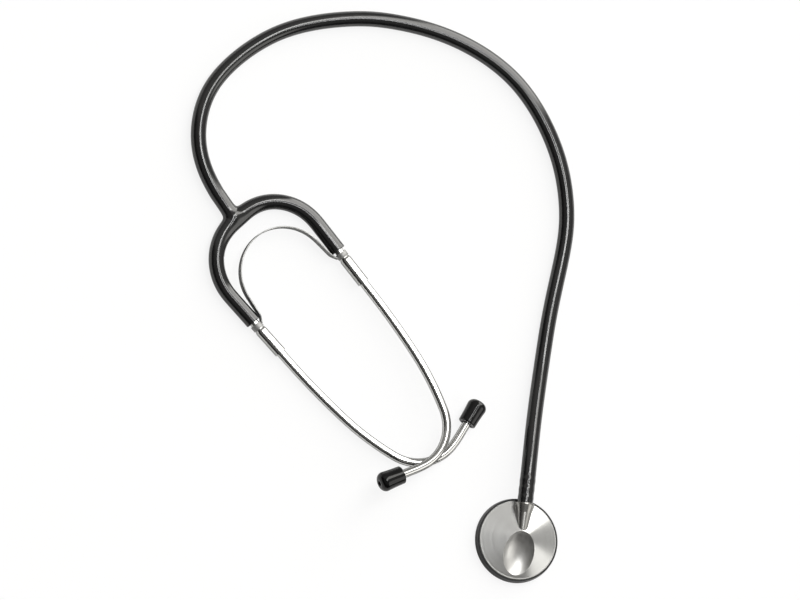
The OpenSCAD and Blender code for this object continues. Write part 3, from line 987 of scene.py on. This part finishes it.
LAMP = 15
LAMP_WIDE = 4.5
LAMP_AWAY = 1.5
# for these bearings across the hose, in degrees from the picture's right
LAMP_BEARINGS = (-20, -8, 4, 16, 28, 40, 52, 64, 80, 100, 116)
# how far beside the hose's middle the lamps show, as a share of its radius
LINE_PLACE = 0.12


def build_floor():
    """White table. What sees it straight on or mirrored sees it paler than it is lit, so that
    only a faint shadow stays."""
    bpy.ops.mesh.primitive_plane_add(size=TABLE_SIZE, location=TABLE_CENTRE)
    floor = bpy.context.object
    floor.name = "floor"
    mat, nt, bsdf = new_material("floor")
    bsdf.inputs["Base Color"].default_value = TABLE_COLOUR
    bsdf.inputs["Roughness"].default_value = TABLE_ROUGH
    bsdf.inputs["Specular IOR Level"].default_value = 0.0
    rays = add(nt, "ShaderNodeLightPath")
    mirrored = add(nt, "ShaderNodeMath", operation="MAXIMUM")
    link(nt, rays, "Is Glossy Ray", mirrored, 0)
    link(nt, rays, "Is Transmission Ray", mirrored, 1)
    faint = add(nt, "ShaderNodeMath", operation="MULTIPLY")
    link(nt, mirrored, "Value", faint, 0)
    faint.inputs[1].default_value = MIRRORED_GLOW
    share = add(nt, "ShaderNodeMath", operation="MULTIPLY_ADD")
    link(nt, rays, "Is Camera Ray", share, 0)
    share.inputs[1].default_value = FLOOR_GLOW
    link(nt, faint, "Value", share, 2)
    mix = add(nt, "ShaderNodeMixShader")
    link(nt, share, "Value", mix, "Fac")
    link(nt, bsdf, "BSDF", mix, 1)
    link(nt, add(nt, "ShaderNodeEmission"), "Emission", mix, 2)
    link(nt, mix, "Shader", nt.nodes["Material Output"], "Surface")
    floor.data.materials.append(mat)


def picture_way(azimuth, height):
    """Direction in the part's frame: degrees round from the picture's right, and above the
    table."""
    a, h = math.radians(azimuth), math.radians(height)
    return PICTURE @ Vector((math.cos(h) * math.cos(a), math.cos(h) * math.sin(a), math.sin(h)))


def build_world():
    """Room: a tall bright window towards the picture's upper right, a smaller one to the lower
    right, and the rest dim, darkest low down on the left."""
    world = bpy.data.worlds.new("world")
    bpy.context.scene.world = world
    world.use_nodes = True
    nt = world.node_tree
    back = nt.nodes["Background"]
    coord = add(nt, "ShaderNodeTexCoord")

    def toward(way):
        node = add(nt, "ShaderNodeVectorMath", operation="DOT_PRODUCT")
        node.inputs[1].default_value = way
        link(nt, coord, "Generated", node, 0)
        return node

    def step(source, reach, strength, least=0.0):
        node = ramp(nt, source, "Value", reach, (least, strength))
        node.interpolation_type = "SMOOTHSTEP"
        return node

    def combine(operation, *sources):
        node = add(nt, "ShaderNodeMath", operation=operation)
        for k, source in enumerate(sources):
            out = "Result" if "Result" in source.outputs else "Value"
            link(nt, source, out, node, k)
        return node

    flat = add(nt, "ShaderNodeVectorMath", operation="MULTIPLY")
    flat.inputs[1].default_value = (1, 1, 0)
    link(nt, coord, "Generated", flat, 0)
    from_top = add(nt, "ShaderNodeVectorMath", operation="LENGTH")
    link(nt, flat, "Vector", from_top, 0)
    bearing = combine("DIVIDE", toward(picture_way(WINDOW_AZ, 0)), from_top)
    below_top = step(from_top, WINDOW_TOP, 1.0)
    window = combine("MULTIPLY", step(bearing, WINDOW_STEP, WINDOW), below_top)
    second = step(toward(picture_way(SECOND_AZ, SECOND_UP)), SECOND_STEP, SECOND)
    ceiling = step(toward(UP), CEILING_STEP, CEILING, least=CEILING_LOW)
    total = step(toward(picture_way(ROOM_AZ, 0)), ROOM_STEP, ROOM)
    for source in (window, ceiling, second):
        total = combine("ADD", total, source)
    tint = add(nt, "ShaderNodeMix", data_type="RGBA")
    tint.inputs["A"].default_value = COOL
    tint.inputs["B"].default_value = WARM
    link(nt, below_top, "Result", tint, "Factor")
    link(nt, tint, "Result", back, "Color")
    link(nt, total, "Value", back, "Strength")


def lamp(name, right, up):
    """Square lamp above the part: degrees from the vertical towards the picture's right and
    up."""
    way = PICTURE @ Vector((math.tan(math.radians(right)), math.tan(math.radians(up)), 1))
    way.normalize()
    x = PICTURE @ Vector((1, 0, 0))
    x = (x - x.dot(way) * way).normalized()
    data = bpy.data.lights.new(name, "AREA")
    data.size = 2 * LAMP_AWAY * math.tan(math.radians(LAMP_WIDE / 2))
    data.energy = LAMP * math.pi * data.size ** 2
    obj = bpy.data.objects.new(name, data)
    turn = Matrix((x, way.cross(x), way)).transposed()
    obj.matrix_world = Matrix.Translation(TABLE_CENTRE + LAMP_AWAY * way) @ turn.to_4x4()
    bpy.context.scene.collection.objects.link(obj)


def string_of_lamps():
    """Small lamps whose mirror images join into one thin line along the hose, a little beside
    its middle. Each serves the stretches that run square to one bearing."""
    view = -math.degrees(TILT_BACK) * Vector((math.cos(TURN_BACK), math.sin(TURN_BACK)))
    beside = 2 * math.degrees(math.asin(LINE_PLACE))
    for bearing in LAMP_BEARINGS:
        a = math.radians(bearing)
        across = Vector((math.cos(a), math.sin(a)))
        place = (2 * view.dot(across) + beside) * across - view
        lamp(f"lamp_{bearing}", place.x, place.y)


build_floor()
build_world()
string_of_lamps()
bpy.context.scene.view_settings.view_transform = "Standard"
